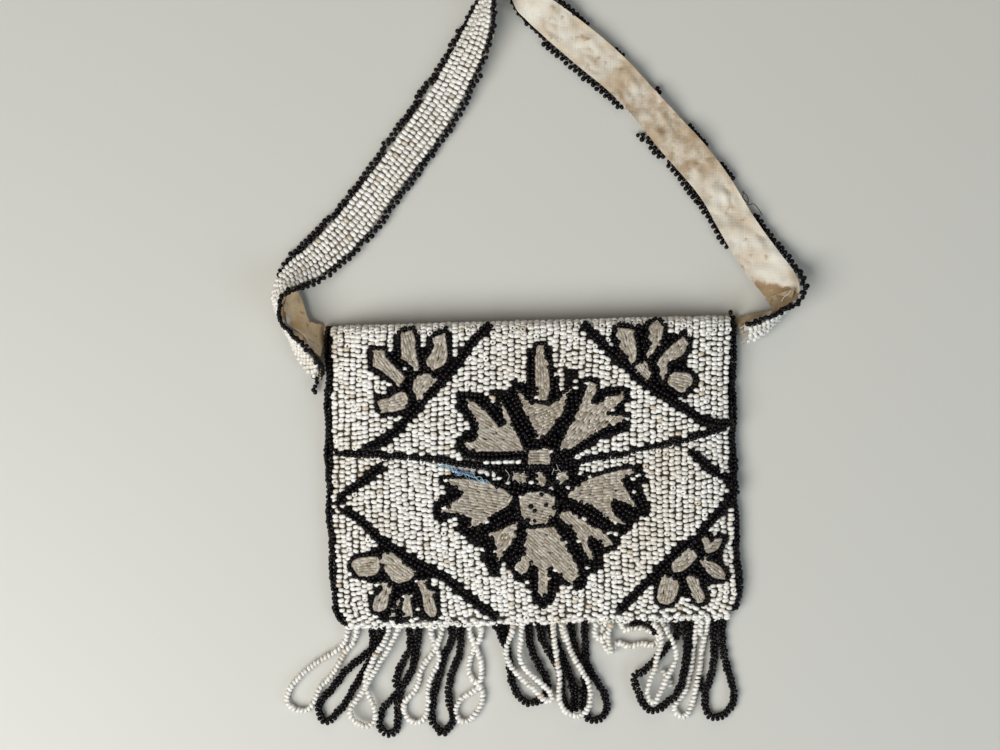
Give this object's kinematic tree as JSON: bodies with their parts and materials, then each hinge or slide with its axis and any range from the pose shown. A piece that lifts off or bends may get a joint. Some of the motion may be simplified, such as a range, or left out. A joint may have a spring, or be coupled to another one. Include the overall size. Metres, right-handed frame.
{
  "type": "beaded evening purse",
  "caption": "Envelope evening purse of white and black beadwork with a hinged flap, a narrow carrying strap and a looped bead fringe.",
  "frame": {"origin": "middle of the back's resting face, with the purse lying on its back", "axes": "+X across the purse to the right as its front is seen, +Y up the purse from the fringe to the strap, +Z out of its front"},
  "size_m": [0.1809, 0.2583, 0.0154],
  "materials": {
    "white_beads": "opaque white seed beads, glossy",
    "black_beads": "opaque black seed beads, glossy",
    "clear_beads": "clear bugle beads, glossy",
    "ground_cloth": "plain weave ground cloth, matte",
    "silk_lining": "cream silk, soft sheen",
    "sewing_thread": "cotton thread, matte"
  },
  "bodies": {
    "pocket": {"back_beadwork": "white_beads", "back_cloth": "ground_cloth", "lining_back": "silk_lining", "front_beadwork": "white_beads", "front_cloth": "ground_cloth", "lining_front": "silk_lining", "edging_left": "black_beads", "edging_right": "black_beads", "hem_row": "white_beads", "lozenge_lower_left": "black_beads", "lozenge_lower_right": "black_beads", "rosette_lower_outline": "black_beads", "rosette_lower_petals": "clear_beads", "palmette_lower_left_outline": "black_beads", "palmette_lower_left_petals": "clear_beads", "palmette_lower_right_outline": "black_beads", "palmette_lower_right_petals": "clear_beads", "strap_stitching_left": "sewing_thread", "strap_stitching_right": "sewing_thread"},
    "flap": {"flap_lining": "silk_lining", "flap_cloth": "ground_cloth", "flap_beadwork": "white_beads", "flap_edge_beads": "black_beads", "lozenge_upper_left": "black_beads", "lozenge_upper_right": "black_beads", "rosette_upper_outline": "black_beads", "rosette_upper_petals": "clear_beads", "palmette_upper_left_outline": "black_beads", "palmette_upper_left_petals": "clear_beads", "palmette_upper_right_outline": "black_beads", "palmette_upper_right_petals": "clear_beads"},
    "strap": {"strap_lining": "silk_lining", "strap_beadwork": "white_beads", "strap_edge_inner": "black_beads", "strap_edge_outer": "black_beads"},
    "fringe_left": {"fringe_loop_01": "white_beads", "fringe_loop_02": "black_beads", "fringe_loop_03": "white_beads", "fringe_loop_04": "black_beads", "fringe_loop_05": "white_beads", "fringe_loop_06": "black_beads", "fringe_loop_07": "white_beads"},
    "fringe_middle": {"fringe_loop_08": "black_beads", "fringe_loop_09": "white_beads", "fringe_loop_10": "black_beads", "fringe_loop_11": "white_beads", "fringe_loop_12": "black_beads"},
    "fringe_right": {"fringe_loop_13": "white_beads", "fringe_loop_14": "black_beads", "fringe_loop_15": "white_beads", "fringe_loop_16": "white_beads", "fringe_loop_17": "black_beads"}
  },
  "joints": [
    {"name": "flap_fold", "type": "hinge", "parent": "pocket", "child": "flap", "pos_m": [0, 0.04805, 0.0031], "axis": [-1, 0, 0], "range_deg": [0, 90]},
    {"name": "strap_swing", "type": "hinge", "parent": "pocket", "child": "strap", "pos_m": [-0.00031, 0.03979, 0.00709], "axis": [0.9983, 0.0591, 0], "range_deg": [0, 150]},
    {"name": "fringe_left_swing", "type": "hinge", "parent": "pocket", "child": "fringe_left", "pos_m": [0, -0.0513, 0.00395], "axis": [-1, 0, 0], "range_deg": [0, 75]},
    {"name": "fringe_middle_swing", "type": "hinge", "parent": "pocket", "child": "fringe_middle", "pos_m": [0, -0.0513, 0.00395], "axis": [-1, 0, 0], "range_deg": [0, 75]},
    {"name": "fringe_right_swing", "type": "hinge", "parent": "pocket", "child": "fringe_right", "pos_m": [0, -0.0513, 0.00395], "axis": [-1, 0, 0], "range_deg": [0, 75]}
  ]
}
